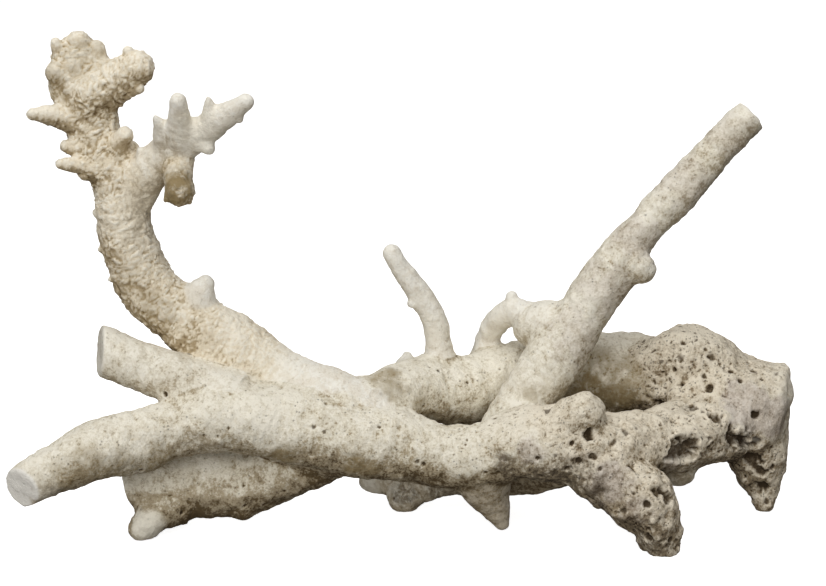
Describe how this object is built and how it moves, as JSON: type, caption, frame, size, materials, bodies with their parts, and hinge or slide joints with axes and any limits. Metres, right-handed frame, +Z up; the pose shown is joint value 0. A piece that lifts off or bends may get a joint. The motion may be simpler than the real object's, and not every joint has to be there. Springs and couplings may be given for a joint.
{
  "type": "branching coral",
  "caption": "Dry, bleached piece of branching coral with a tall knobbed antler, broken limbs and a pitted reef end, lying on its worn stubs.",
  "frame": {"origin": "middle of the piece's outline seen from above, at the height of the table it lies on", "axes": "+X along the trunk from the cut arms to the reef end, +Y away from the side with the cut arms, +Z up"},
  "size_m": [0.4066, 0.127, 0.2538],
  "materials": {
    "antler_cream": "dry, matt, scaly with small cups",
    "worn_white": "dry, matt, worn smooth, with fine pores and brown stains",
    "reef_grey": "dry, matt, pitted and crusted, mauve-grey"
  },
  "bodies": {
    "root": {"main_trunk": "worn_white", "cut_arm": "worn_white", "cut_stub": "worn_white", "antler_stem": "antler_cream", "antler_head": "antler_cream", "antler_spur": "antler_cream", "rear_bough": "worn_white", "thin_finger": "worn_white", "straight_branch": "worn_white", "arch_twig": "worn_white", "pitted_trunk": "reef_grey", "front_foot": "reef_grey", "reef_block": "reef_grey", "rear_foot": "reef_grey", "spike_root": "worn_white", "rear_root": "worn_white"}
  },
  "joints": []
}
